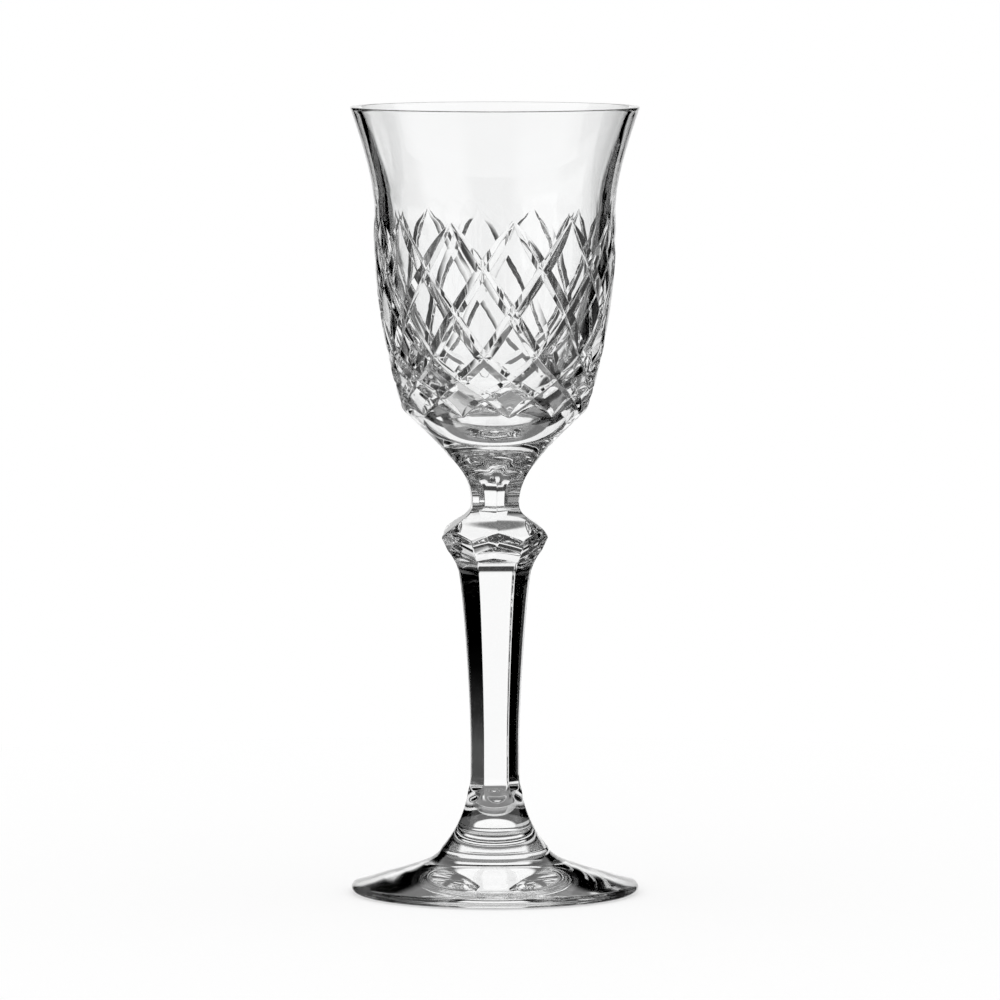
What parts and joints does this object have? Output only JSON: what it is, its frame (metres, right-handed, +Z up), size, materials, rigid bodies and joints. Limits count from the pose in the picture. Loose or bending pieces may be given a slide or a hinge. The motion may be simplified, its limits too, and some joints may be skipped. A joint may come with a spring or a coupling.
{
  "type": "liqueur glass",
  "caption": "Stemmed liqueur glass in clear cut crystal: flared bowl with a diamond-cut body, faceted neck, knop and stem, and a round foot; holds a small measure of drink.",
  "frame": {"origin": "centre of the ring that the foot rests on, on the table plane", "axes": "+Z up along the axis of the glass, -Y towards the side seen in the picture, where a flat of the stem faces, +X to that viewer's right"},
  "size_m": [0.0514, 0.0514, 0.14],
  "materials": {
    "bowl_crystal": "polished clear crystal, diamond cut",
    "knop_crystal": "polished clear crystal, faceted",
    "stem_crystal": "polished clear crystal, faceted",
    "foot_crystal": "polished clear crystal, plain"
  },
  "bodies": {
    "root": {"bowl": "bowl_crystal", "knop": "knop_crystal", "stem": "stem_crystal", "foot": "foot_crystal"}
  },
  "joints": []
}
